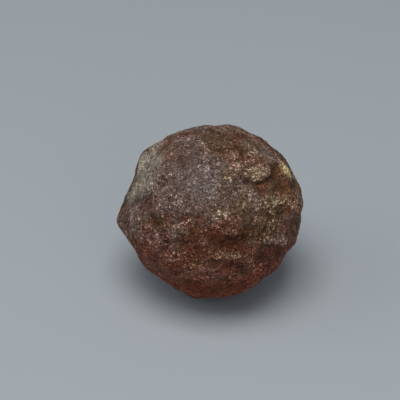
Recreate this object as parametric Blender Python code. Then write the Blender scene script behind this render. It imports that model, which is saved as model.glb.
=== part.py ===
"""A moqui marble: an iron-oxide concretion about 47 mm across, modelled as the one solid stone that it is.

The stone is a ball whose every surface point is pushed out or in along its own direction. Its broad form
comes first: a body with half-axes, broad swells, and flats where it is planed off. Knobs, hollows, ridges,
ledges and creases follow, each placed on one side of the stone as an eye sees that side. It lies on a small
worn flat.

Metres, +Z up. The origin is under the middle of the stone, on the surface that it lies on. +X is its longest
way.
"""

import math
import random
from collections import namedtuple

import bmesh
import bpy
from mathutils import Vector, noise

MM = 0.001

# The body before anything is raised on it or worn from it.
HALF_WIDTH = 22.9 * MM
HALF_DEPTH = 22.4 * MM
HALF_HEIGHT = 22.8 * MM
MEAN_RADIUS = 22.5 * MM

# The worn flat that the stone lies on, by how far it is cut in from the lowest point.
WORN_FLAT_DEPTH = 1.2 * MM

# The front is the side that is seen looking down on the lying stone at this angle.
FRONT_ELEVATION = 35

# Each of the 20 faces of the starting ball is divided into this many triangles along an edge.
BALL_DIVISIONS = 22

# Weathering that is the same all over: (size of its lumps, how far it raises or wears).
WEATHERING = ((9.0 * MM, 0.50 * MM), (4.6 * MM, 0.48 * MM), (2.7 * MM, 0.26 * MM))
WEATHERING_ORIGIN = Vector((3.7, 1.9, 8.3))

# The relief wanders from its set lines by this much, in waves of this size: least on the front, most behind.
WANDER = 1.5 * MM
WANDER_SIZE = 5.5 * MM
WANDER_FROM_FRONT = 1.7
WANDER_SEED = 5

# Flats are rounded into the body over this much.
FLAT_ROUNDING = 1.5 * MM

# A flat can't reach directions that turn further from it than this share of facing it squarely.
FLAT_FACING = 0.2

# Small knobs and pits strewn over the sides away from the front.
STREWN_COUNT = 90
STREWN_SEED = 11
STREWN_SIZE = (1.4 * MM, 2.8 * MM)
STREWN_RISE = (-0.42 * MM, 0.50 * MM)
STREWN_FROM_FRONT = 82

CRUST_COLOUR = (0.075, 0.046, 0.030, 1.0)
CRUST_ROUGHNESS = 0.72


# A direction out from the middle of the stone, and the way that is up on the side that names it.
Place = namedtuple("Place", ("direction", "up"))


class Side:
    """One side of the stone as an eye sees it. Places on it are right of its middle and up from it."""

    def __init__(self, azimuth, elevation):
        turn = math.radians(azimuth)
        rise = math.radians(elevation)
        self.toward = Vector(
            (math.sin(turn) * math.cos(rise), -math.cos(turn) * math.cos(rise), math.sin(rise))
        )
        self.right = Vector((math.cos(turn), math.sin(turn), 0))
        self.up = self.toward.cross(self.right)

    def at(self, right, up):
        """The surface point seen this many millimetres right of the middle and up from it."""
        across = right * MM
        above = up * MM
        depth = math.sqrt(max(MEAN_RADIUS**2 - across**2 - above**2, 0.0))
        outward = across * self.right + above * self.up + depth * self.toward
        return Place(outward.normalized(), self.up)

    def rim(self, clock, away):
        """The point at an angle round the middle, 0 being right and 90 up, this many degrees away from it."""
        around = math.radians(clock)
        off = math.radians(away)
        outward = math.cos(around) * self.right + math.sin(around) * self.up
        return Place(outward * math.sin(off) + self.toward * math.cos(off), self.up)


FRONT = Side(0, FRONT_ELEVATION)
RIGHT = Side(95, 10)
BACK = Side(180, 15)
LEFT = Side(-100, 5)
TOP = Side(0, 90)
UNDER = Side(0, -55)


class Knob:
    """A rounded rise, or a hollow where rise is negative. blunt over 1 gives a flat top and a steep edge."""

    def __init__(self, place, half_width, half_height, rise, blunt=1.0, tilt=0.0):
        self.middle = place.direction
        self.across = place.up.cross(self.middle).normalized()
        self.above = self.middle.cross(self.across)
        self.half_width = half_width * MM
        self.half_height = half_height * MM
        self.rise = rise * MM
        self.blunt = blunt
        self.cosine = math.cos(math.radians(tilt))
        self.sine = math.sin(math.radians(tilt))

    def lift(self, direction):
        if direction.dot(self.middle) <= 0:
            return 0.0
        x = MEAN_RADIUS * direction.dot(self.across)
        y = MEAN_RADIUS * direction.dot(self.above)
        along = (x * self.cosine + y * self.sine) / self.half_width
        over = (y * self.cosine - x * self.sine) / self.half_height
        return self.rise * math.exp(-((along**2 + over**2) ** self.blunt))


class Ridge:
    """A rise along a line of places, or a crease where rise is negative. Its slopes above and below the line
    are as wide as above and below say, so a ledge has a wide one above it and a narrow one below."""

    def __init__(self, side, places, rise, above, below):
        self.points = [side.at(*place).direction * MEAN_RADIUS for place in places]
        self.up = side.up
        self.rise = rise * MM
        self.above = above * MM
        self.below = below * MM

    def lift(self, direction):
        point = direction * MEAN_RADIUS
        nearest = min(
            (offset_from_line(point, a, b) for a, b in zip(self.points, self.points[1:])),
            key=lambda offset: offset.length,
        )
        distance = nearest.length
        if distance < 1e-9:
            return self.rise
        share = 0.5 + 0.5 * nearest.dot(self.up) / distance
        width = self.below + (self.above - self.below) * share
        return self.rise * math.exp(-((distance / width) ** 2))


class Flat:
    """A plane that faces a place and planes the stone off there, at a distance from the stone's middle."""

    def __init__(self, place, distance):
        self.normal = place.direction
        self.distance = distance * MM

    def limit(self, direction, radius):
        facing = direction.dot(self.normal)
        if facing < FLAT_FACING:
            return radius
        return smooth_min(radius, self.distance / facing, FLAT_ROUNDING)


def offset_from_line(point, start, end):
    along = end - start
    share = (point - start).dot(along) / along.length_squared
    return point - (start + along * min(max(share, 0.0), 1.0))


def smooth_min(a, b, rounding):
    near = max(rounding - abs(a - b), 0.0) / rounding
    return min(a, b) - near**2 * rounding / 4


def broad_swells():
    """What the whole stone leans to: a pointed lobe on the left, and leaner round the lower rim."""
    return (
        Knob(FRONT.rim(182.5, 88), 7.5, 6.2, 3.1, blunt=0.75),
        Knob(FRONT.rim(207, 86), 5.5, 5.0, 1.1),
        Knob(FRONT.rim(178, 88), 3.2, 3.0, 1.4),
        Knob(FRONT.rim(97, 84), 7.0, 6.0, 0.55),
        Knob(FRONT.rim(68, 86), 5.5, 5.5, -0.45),
        Knob(FRONT.rim(54, 84), 4.8, 4.6, 0.50),
        Knob(FRONT.rim(37, 86), 4.2, 4.2, -0.80),
        Knob(FRONT.rim(351, 87), 5.5, 5.5, 0.40),
        Knob(FRONT.rim(237, 86), 7.2, 6.0, -2.15),
        Knob(FRONT.rim(284, 88), 7.4, 8.0, -1.90),
        Knob(FRONT.rim(304, 87), 4.5, 4.5, 0.35),
        Knob(FRONT.rim(325, 86), 10.6, 11.5, -2.35),
        Knob(FRONT.rim(320, 87), 3.4, 3.4, -0.45),
        Knob(BACK.at(6.0, 4.0), 12.0, 9.0, 0.7),
        Knob(BACK.at(-10.0, -6.0), 9.0, 8.0, 0.6),
    )


def broad_flats():
    """Where the stone is planed off: the pale upper left face, and flats on the sides away from the front."""
    return (
        Flat(FRONT.rim(155, 70), 21.5),
        Flat(FRONT.rim(158, 87), 22.8),
        Flat(BACK.at(-14.0, 2.0), 21.6),
        Flat(BACK.at(9.0, -12.0), 21.7),
        Flat(LEFT.at(10.0, -12.0), 21.7),
    )


def front_upper_relief():
    """The upper right knob with the crease under it, the rim beyond it, and the calm rise in the middle."""
    return (
        Knob(FRONT.at(11.0, 10.7), 3.2, 2.8, 1.30, blunt=1.5),
        Ridge(FRONT, ((8.2, 8.3), (11.6, 7.2), (14.4, 8.6), (15.6, 10.8)), -0.65, 1.4, 1.5),
        Knob(FRONT.at(16.0, 9.6), 2.2, 2.8, -0.65),
        Knob(FRONT.at(12.8, 5.8), 3.2, 1.7, -0.40),
        Ridge(FRONT, ((13.6, 13.4), (16.6, 11.9), (18.4, 9.8)), 0.35, 1.5, 1.5),
        Knob(FRONT.at(-2.2, 8.6), 7.0, 4.6, 0.40),
        Ridge(FRONT, ((-2.0, 5.7), (2.0, 6.7), (5.8, 6.4)), -0.30, 1.2, 1.2),
        Knob(FRONT.at(1.4, 4.1), 4.2, 2.0, 0.40),
        Knob(FRONT.at(4.7, 2.0), 1.5, 1.4, -0.35),
        Ridge(FRONT, ((3.4, 16.4), (6.2, 16.6), (8.8, 15.8)), -0.32, 1.2, 1.2),
        Knob(FRONT.at(6.8, 14.0), 1.6, 1.5, 0.35),
        Knob(FRONT.at(5.2, 11.4), 1.6, 1.5, 0.38),
        Knob(FRONT.at(8.9, 5.2), 1.8, 1.4, 0.40),
        Knob(FRONT.at(-2.7, 17.0), 1.8, 1.6, 0.28),
        Knob(FRONT.at(-9.4, 12.2), 4.5, 2.6, 0.22, tilt=30),
        Ridge(FRONT, ((-13.6, 8.4), (-10.6, 8.0), (-8.0, 9.6)), -0.22, 1.2, 1.2),
    )


def front_middle_relief():
    """The ledge on the right, the round nodule in the middle, and the soft hollow under it."""
    return (
        Ridge(FRONT, ((9.2, 2.8), (13.6, 2.2), (16.8, 2.6), (20.0, 4.6)), 0.70, 2.4, 1.3),
        Knob(FRONT.at(18.2, -0.8), 3.0, 1.7, -0.40),
        Knob(FRONT.at(3.9, -2.3), 4.4, 3.3, 0.95),
        Knob(FRONT.at(1.6, -0.6), 2.2, 1.7, 0.25),
        Ridge(FRONT, ((-0.8, -5.6), (2.4, -7.0), (6.4, -7.0), (9.2, -5.0)), -0.35, 1.5, 2.0),
        Knob(FRONT.at(3.6, -7.4), 5.0, 2.0, -0.35),
        Knob(FRONT.at(9.0, -3.7), 1.8, 2.6, -0.35),
        Knob(FRONT.at(10.9, -1.6), 1.8, 1.6, 0.42),
        Knob(FRONT.at(14.6, -1.4), 1.7, 1.6, 0.40),
        Knob(FRONT.at(17.0, -4.8), 1.8, 1.6, 0.40),
        Ridge(FRONT, ((12.6, -3.6), (14.6, -4.6), (15.2, -6.0)), -0.30, 1.2, 1.2),
        Knob(FRONT.at(-9.2, 2.2), 1.9, 2.1, 0.38),
        Knob(FRONT.at(-8.3, -0.9), 1.6, 1.4, -0.40),
        Knob(FRONT.at(-8.6, -3.6), 2.7, 1.4, 0.36, tilt=20),
        Knob(FRONT.at(-1.8, -5.3), 1.4, 1.4, 0.32),
        Ridge(FRONT, ((-12.8, -7.9), (-9.4, -7.2), (-5.8, -5.9)), -0.35, 1.5, 1.8),
        Ridge(FRONT, ((-12.0, -5.9), (-8.4, -5.2), (-5.8, -4.0)), 0.30, 1.5, 1.4),
        Ridge(FRONT, ((-3.8, -7.4), (0.2, -7.9)), 0.38, 1.3, 1.2),
    )


def front_lower_relief():
    """Low ridges that run across the stone like beds, and the hollow at the lower right."""
    return (
        Ridge(FRONT, ((-1.8, -10.8), (2.4, -9.7), (6.4, -10.4)), 0.40, 1.5, 1.4),
        Ridge(FRONT, ((1.2, -12.6), (4.2, -13.0), (7.6, -13.4)), -0.22, 1.3, 1.8),
        Ridge(FRONT, ((-6.4, -12.7), (-2.2, -13.9), (0.6, -15.5)), 0.55, 1.4, 1.3),
        Ridge(FRONT, ((9.8, -8.2), (9.4, -11.2), (9.1, -14.3)), 0.55, 1.2, 1.2),
        Ridge(FRONT, ((13.2, -6.5), (16.4, -7.0), (18.2, -8.2)), 0.60, 1.6, 1.2),
        Knob(FRONT.at(13.2, -10.5), 3.4, 2.5, -0.70),
        Knob(FRONT.at(12.2, -14.6), 2.0, 1.6, 0.35),
        Knob(FRONT.at(5.6, -16.6), 3.4, 1.6, 0.30),
        Knob(FRONT.at(-11.0, -12.2), 3.0, 2.0, 0.26),
        Knob(FRONT.at(-4.8, -17.4), 2.6, 1.8, -0.28),
    )


def front_left_relief():
    """The corner above the pale face, the edge and the creases round it, and the nose of the left lobe."""
    return (
        Knob(FRONT.rim(139, 85), 3.4, 3.7, 1.65, blunt=1.3),
        Ridge(FRONT, ((-13.4, 17.0), (-12.4, 15.0), (-12.0, 12.8)), -0.30, 1.2, 1.2),
        Ridge(FRONT, ((-22.4, 3.2), (-19.4, 3.4), (-16.6, 4.9)), -0.60, 1.2, 1.4),
        Ridge(FRONT, ((-15.9, 6.4), (-14.5, 10.0), (-13.8, 14.0)), 0.25, 1.3, 1.3),
        Ridge(FRONT, ((-22.3, -0.6), (-19.6, -0.3), (-16.8, -0.4)), 0.40, 1.4, 1.3),
        Knob(FRONT.at(-15.3, -1.6), 1.8, 2.0, -0.55),
        Knob(FRONT.at(-17.4, -5.8), 2.4, 2.0, 0.25),
    )


def far_side_relief():
    """The beds go on round the sides that the front hides, with knobs and hollows of the same sizes."""
    return (
        Ridge(RIGHT, ((-12.0, 3.6), (-5.0, 0.8), (1.0, 2.8)), 0.70, 2.2, 1.3),
        Ridge(RIGHT, ((5.0, 0.4), (11.0, 2.4), (16.0, 1.2)), 0.65, 1.9, 1.3),
        Ridge(RIGHT, ((-12.0, -7.4), (-4.0, -10.2), (3.0, -8.2)), 0.60, 1.6, 1.3),
        Ridge(RIGHT, ((7.0, -11.4), (13.0, -8.6)), 0.50, 1.6, 1.3),
        Ridge(RIGHT, ((-7.0, -2.2), (-1.0, -3.4), (5.0, -2.0)), -0.60, 1.2, 1.7),
        Knob(RIGHT.at(3.0, 8.6), 4.4, 3.4, 1.05, blunt=1.3),
        Ridge(RIGHT, ((-1.4, 6.4), (3.2, 4.9), (7.6, 6.6)), -0.60, 1.3, 1.5),
        Knob(RIGHT.at(-8.6, 9.6), 3.4, 2.6, -0.70),
        Knob(RIGHT.at(9.8, -4.8), 2.6, 2.2, 0.70, blunt=1.3),
        Knob(RIGHT.at(-3.6, -5.6), 2.8, 1.8, -0.50),
        Ridge(BACK, ((-15.0, 5.0), (-8.0, 1.8), (-2.0, 3.4)), 0.80, 2.4, 1.3),
        Ridge(BACK, ((3.0, 1.6), (9.0, -0.4), (15.0, 2.2)), 0.70, 2.0, 1.3),
        Ridge(BACK, ((-10.0, -1.6), (-4.0, -0.2), (2.0, -2.2)), -0.60, 1.2, 1.7),
        Ridge(BACK, ((-13.0, -8.2), (-5.0, -11.0), (2.0, -9.4)), 0.65, 1.5, 1.3),
        Knob(BACK.at(-5.4, 9.4), 4.2, 3.2, 1.10, blunt=1.4),
        Ridge(BACK, ((-9.6, 6.8), (-5.2, 5.8), (-1.2, 7.4)), -0.65, 1.3, 1.5),
        Knob(BACK.at(7.6, 9.8), 3.6, 3.0, -0.80),
        Knob(BACK.at(11.8, 6.0), 2.6, 2.2, 0.60),
        Knob(BACK.at(3.6, -5.8), 3.8, 2.4, 0.95, blunt=1.3),
        Ridge(BACK, ((0.0, -7.6), (3.8, -8.6), (7.4, -7.2)), -0.55, 1.3, 1.5),
        Knob(BACK.at(-9.6, -5.4), 2.4, 2.0, -0.55),
        Ridge(LEFT, ((-14.0, -1.4), (-7.0, -4.2), (0.0, -2.6)), 0.65, 1.9, 1.3),
        Ridge(LEFT, ((1.0, -10.0), (7.0, -11.8), (12.0, -9.4)), 0.55, 1.4, 1.3),
        Knob(LEFT.at(-5.6, 6.2), 3.8, 3.0, 0.80, blunt=1.3),
        Knob(LEFT.at(-11.2, 9.0), 2.8, 2.2, -0.60),
        Knob(LEFT.at(-1.4, -7.0), 3.2, 2.0, -0.60),
        Knob(LEFT.at(5.2, 9.8), 2.6, 2.4, 0.55),
        Ridge(TOP, ((-6.0, 8.8), (1.0, 7.4), (8.0, 8.8)), 0.45, 1.6, 1.3),
        Knob(TOP.at(-7.8, 4.2), 3.0, 2.4, 0.55, blunt=1.2),
        Knob(TOP.at(5.6, 3.4), 3.0, 2.4, -0.50),
        Knob(TOP.at(-2.6, 12.2), 3.2, 2.2, -0.45),
        Ridge(UNDER, ((-12.0, 3.2), (-4.0, 1.8), (5.0, 2.6), (12.0, 1.0)), 0.45, 1.4, 1.3),
        Knob(UNDER.at(9.4, 6.4), 3.0, 2.2, 0.55),
        Knob(UNDER.at(-9.8, 8.6), 3.2, 2.2, -0.45),
    )


def strewn_relief():
    """Small knobs and pits at random over the far sides, none on the front, where each has its own place."""
    chance = random.Random(STREWN_SEED)
    limit = math.cos(math.radians(STREWN_FROM_FRONT))
    found = []
    while len(found) < STREWN_COUNT:
        side = Side(chance.uniform(0, 360), math.degrees(math.asin(chance.uniform(-1, 1))))
        width = chance.uniform(*STREWN_SIZE) / MM
        height = width * chance.uniform(0.6, 1.0)
        rise = chance.uniform(*STREWN_RISE) / MM
        if side.toward.dot(FRONT.toward) < limit:
            found.append(Knob(side.at(0, 0), width, height, rise, tilt=chance.uniform(-25, 25)))
    return tuple(found)


def weathering(direction):
    """Unevenness all over, out as much as in."""
    return sum(
        depth * noise.noise(direction * (MEAN_RADIUS / size) + WEATHERING_ORIGIN)
        for size, depth in WEATHERING
    )


def body_radius(direction):
    return 1.0 / math.sqrt(
        (direction.x / HALF_WIDTH) ** 2
        + (direction.y / HALF_DEPTH) ** 2
        + (direction.z / HALF_HEIGHT) ** 2
    )


def wandered(direction):
    """The direction whose relief is raised here instead, so that no ridge or ledge runs straight."""
    place = direction * (MEAN_RADIUS / WANDER_SIZE) + WEATHERING_ORIGIN
    share = (WANDER_FROM_FRONT - direction.dot(FRONT.toward)) * WANDER / MEAN_RADIUS
    return (direction + share * noise.noise_vector(place)).normalized()


def surface_of(swells, flats, relief):
    """A function that gives how far out the surface lies in a direction."""

    def radius(direction):
        found = body_radius(direction) + sum(swell.lift(direction) for swell in swells)
        for flat in flats:
            found = flat.limit(direction, found)
        raised = wandered(direction)
        return found + sum(form.lift(raised) for form in relief) + weathering(direction)

    return radius


def ball(divisions):
    """A ball of even triangles of radius 1: an icosahedron's faces divided, and pushed out to the sphere."""
    mesh = bmesh.new()
    bmesh.ops.create_icosphere(mesh, subdivisions=1, radius=1.0)
    bmesh.ops.subdivide_edges(mesh, edges=mesh.edges, cuts=divisions - 1, use_grid_fill=True)
    for vert in mesh.verts:
        vert.co.normalize()
    return mesh


def wear_flat(mesh, depth):
    """Presses everything within depth of the lowest point up to one plane, which the stone then lies on."""
    plane = min(vert.co.z for vert in mesh.verts) + depth
    for vert in mesh.verts:
        vert.co.z = max(vert.co.z, plane)
    return plane


def stand_on_origin(mesh, plane):
    """Moves the stone so that its flat is at height 0 and the middle of its box is over the origin."""
    xs = [vert.co.x for vert in mesh.verts]
    ys = [vert.co.y for vert in mesh.verts]
    middle = Vector(((min(xs) + max(xs)) / 2, (min(ys) + max(ys)) / 2, plane))
    bmesh.ops.translate(mesh, verts=mesh.verts, vec=-middle)


def crust_material():
    material = bpy.data.materials.new("iron_crust")
    material.use_nodes = True
    shader = material.node_tree.nodes["Principled BSDF"]
    shader.inputs["Base Color"].default_value = CRUST_COLOUR
    shader.inputs["Roughness"].default_value = CRUST_ROUGHNESS
    shader.inputs["Metallic"].default_value = 0.0
    return material


def make_stone():
    relief = (
        front_upper_relief()
        + front_middle_relief()
        + front_lower_relief()
        + front_left_relief()
        + far_side_relief()
        + strewn_relief()
    )
    radius = surface_of(broad_swells(), broad_flats(), relief)
    shape = ball(BALL_DIVISIONS)
    for vert in shape.verts:
        vert.co = vert.co * radius(vert.co)
    plane = wear_flat(shape, WORN_FLAT_DEPTH)
    stand_on_origin(shape, plane)
    mesh = bpy.data.meshes.new("stone")
    shape.to_mesh(mesh)
    shape.free()
    mesh.shade_smooth()
    mesh.materials.append(crust_material())
    stone = bpy.data.objects.new("stone", mesh)
    bpy.context.scene.collection.objects.link(stone)
    return stone


def main():
    for old in list(bpy.data.objects):
        bpy.data.objects.remove(old)
    noise.seed_set(WANDER_SEED)
    make_stone()


main()
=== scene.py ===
"""The looks of a moqui marble: a gritty iron-oxide crust over the stone, and the grains that glint in it.

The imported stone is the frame. Its copy is divided finely, weathered and creased to make the crust, and grains
of sand and quartz are set in that. The front is the side the camera sees. Sizes are metres, apart from the
lists of places on the front, which are in millimetres.
"""

import math

import bpy
import numpy as np
from bpy.props import FloatProperty, FloatVectorProperty, IntProperty, PointerProperty
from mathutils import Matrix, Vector, noise
from mathutils.bvhtree import BVHTree


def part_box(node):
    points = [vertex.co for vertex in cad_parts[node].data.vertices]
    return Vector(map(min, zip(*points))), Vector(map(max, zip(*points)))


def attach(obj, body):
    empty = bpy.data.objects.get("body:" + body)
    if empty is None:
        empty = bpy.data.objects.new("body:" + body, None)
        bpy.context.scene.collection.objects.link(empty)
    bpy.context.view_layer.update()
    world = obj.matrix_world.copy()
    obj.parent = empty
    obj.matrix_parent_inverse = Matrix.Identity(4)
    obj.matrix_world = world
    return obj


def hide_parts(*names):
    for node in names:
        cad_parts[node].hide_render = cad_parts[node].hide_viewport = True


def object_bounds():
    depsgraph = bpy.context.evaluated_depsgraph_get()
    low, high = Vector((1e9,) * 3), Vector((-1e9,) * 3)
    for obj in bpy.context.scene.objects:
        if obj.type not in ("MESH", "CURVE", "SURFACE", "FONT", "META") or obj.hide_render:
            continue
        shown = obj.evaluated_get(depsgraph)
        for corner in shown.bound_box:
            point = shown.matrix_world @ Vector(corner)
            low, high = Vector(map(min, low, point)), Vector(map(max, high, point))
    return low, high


bl_info = {
    "name": "Moqui Marble",
    "version": (1, 0, 0),
    "blender": (4, 5, 0),
    "location": "3D View > Sidebar > Moqui Marble",
    "description": "Dresses the stone with its crust and its grains of sand and quartz, on a plain stage",
    "category": "Object",
}

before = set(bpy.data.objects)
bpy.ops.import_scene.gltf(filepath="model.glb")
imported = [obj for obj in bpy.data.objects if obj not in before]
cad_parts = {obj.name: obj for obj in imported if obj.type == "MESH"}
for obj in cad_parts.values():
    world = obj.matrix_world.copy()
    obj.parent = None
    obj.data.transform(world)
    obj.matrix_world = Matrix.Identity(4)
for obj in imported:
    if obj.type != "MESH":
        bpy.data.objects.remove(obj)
CAD_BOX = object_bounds()

MM = 0.001
NODE = "stone"
CRUST = "stone_crust"
BODY = "root"

# The photograph's viewing angle, how far off the camera stands and how near it sees, how wide a strip of the
# world its frame shows at the stone, and how far right and down of the frame's middle the stone lies, in the
# frame's pixels.
VIEW_ELEVATION = math.radians(35)
VIEW_DISTANCE = 0.48
NEAREST_SEEN = 0.01
FRAME_WIDTH = 102.6 * MM
FRAME_PIXELS = 400
STONE_RIGHT_PIXELS = 9.6
STONE_DOWN_PIXELS = 11.4

TOWARD = Vector((0, -math.cos(VIEW_ELEVATION), math.sin(VIEW_ELEVATION)))
RIGHT = Vector((1, 0, 0))
UP = TOWARD.cross(RIGHT)
PIXEL = FRAME_WIDTH / FRAME_PIXELS

MIDDLE = (Vector(CAD_BOX[0]) + Vector(CAD_BOX[1])) / 2
AIM = MIDDLE - STONE_RIGHT_PIXELS * PIXEL * RIGHT + STONE_DOWN_PIXELS * PIXEL * UP
EYE = AIM + VIEW_DISTANCE * TOWARD
SURFACE = BVHTree.FromObject(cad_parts[NODE], bpy.context.evaluated_depsgraph_get())

# The stage: the floor's width, how large and how light its faint clouds are, and the sky's colour.
FLOOR_SIZE = 6.0
FLOOR_CLOUD_SIZE = 0.4
FLOOR_CLOUD_LIGHTER = 1.06
SKY_COLOUR = (0.84, 0.90, 1.0)

# The soft lights: the direction that each comes from, in degrees round from the front and up, its distance
# from the stone, its size and its colour.
LIGHTS = {
    "key": (-15, 74, 0.9, 0.55, (1.0, 0.97, 0.93)),
    "fill": (20, 30, 1.1, 0.9, (0.96, 0.97, 1.0)),
    "side": (-80, 35, 1.0, 0.7, (0.93, 0.96, 1.0)),
}

# How large the lumps of the relief are.
LUMP_SIZE = 2.9 * MM
CRAG_SIZE = 1.7 * MM
SAND_SIZE = 0.7 * MM

# How large the lumps of each pattern of the colour and the wear are, from broad clouds to the finest grit.
BROAD_SIZE = 11 * MM
CLOUD_SIZE = 5 * MM
MOTTLE_SIZE = 2.6 * MM
BLOTCH_SIZE = 1.9 * MM
WORN_CLUMP_SIZE = 1.4 * MM
CLUMP_SIZE = 1.1 * MM
GRIT_SIZE = 0.16 * MM

# How much of each pattern's colour shows over the brown where it is strongest.
HIGH_SHEEN_SHARE = 0.7
BROAD_MAROON_SHARE = 0.5
RUST_AND_BOUNCE_SHARE = 0.85
BLOTCH_SHARE = 0.28

# Heights over the floor between which the painted lilac sheen comes in, the rust with its painted warm bounce
# light fades out and the grains grow thicker, and the places from front to back between which that rust and
# bounce light fade out.
HIGH_SHEEN_HEIGHTS = (10 * MM, 26 * MM)
RUST_AND_BOUNCE_HEIGHTS = (6 * MM, 31 * MM)
GRAIN_HEIGHTS = (8 * MM, 30 * MM)
RUST_AND_BOUNCE_DEPTHS = (-12 * MM, 8 * MM)

# The edges of patches are made ragged by coarse and by fine noise: the size of its lumps, and its push.
RAGGED_EDGES = ((5 * MM, 5 * MM), (0.9 * MM, 2.2 * MM))

# Creases and worn places wander off their lines: the size of the bends, how far they go, and their seed.
BEND_SIZE = 2.4 * MM
BEND_DISTANCE = 0.6 * MM
BEND_SEED = 3

# Hollows are found by smoothing, narrow ones and then wide ones: the rounds, and the depth of a full hollow.
HOLLOW_SCALES = ((10, 0.07 * MM), (70, 0.30 * MM))

# The knobbliest stretch of the front: places along it, and its width. Then the stone's rough radius.
KNOBBLY_STRETCH = ((8, 12), (13, 2), (8, -8), (0, -12))
KNOBBLY_WIDTH = 8.0
STONE_RADIUS = 23 * MM

# Points with less weight than this stay out of a vertex group.
LEAST_WEIGHT = 0.004

# No grain stands on the crust lower than this, so none holds the stone off the surface it lies on.
GRAIN_LOWEST = 1.2 * MM

# A grain is stretched by a random factor between these along each axis.
GRAIN_STRETCH = (0.7, 1.3)

# The quartz grains' seeds come this far after the sand grains', so that the two are spread differently.
QUARTZ_SEED_SHIFT = 10

# Creases on the front: places along each, in millimetres right and up of the stone's middle as the camera
# sees it, then the crease's width and depth in millimetres.
CREASES = {
    "under the upper right knob": (((9.5, 7.5), (12.5, 7.0), (15.0, 8.0), (16.2, 10.0)), 0.65, 0.8),
    "under the right ledge": (((15.5, 0.5), (18.0, 1.0), (21.0, 3.0)), 0.55, 0.40),
    "under the nodule": (((0.5, -4.5), (3.0, -5.5), (5.5, -7.0), (8.0, -6.0)), 0.7, 0.10),
    "gap by the nodule": (((9.5, -1.0), (9.5, -4.0), (8.5, -6.0)), 0.8, 0.20),
    "left fold": (((-11.0, -7.5), (-8.0, -8.0)), 0.8, 0.22),
    "over the lower arc": (((-5.0, -9.5), (-1.5, -9.0), (3.0, -9.0), (6.5, -8.5)), 0.8, 0.35),
    "under the lower arc": (((1.5, -12.5), (5.5, -13.0), (8.5, -14.0)), 0.8, 0.10),
    "under the lower right ridge": (((12.5, -9.5), (16.0, -9.0), (19.0, -9.5)), 0.8, 0.40),
    "under the pale face": (((-19.0, 3.5), (-17.0, 4.5), (-15.0, 5.5)), 0.6, 0.20),
    "above the left spot": (((-12.0, 7.0), (-10.5, 5.5)), 0.8, 0.15),
    "low on the left": (((-16.0, -12.0), (-13.5, -15.5)), 0.9, 0.20),
}

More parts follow.
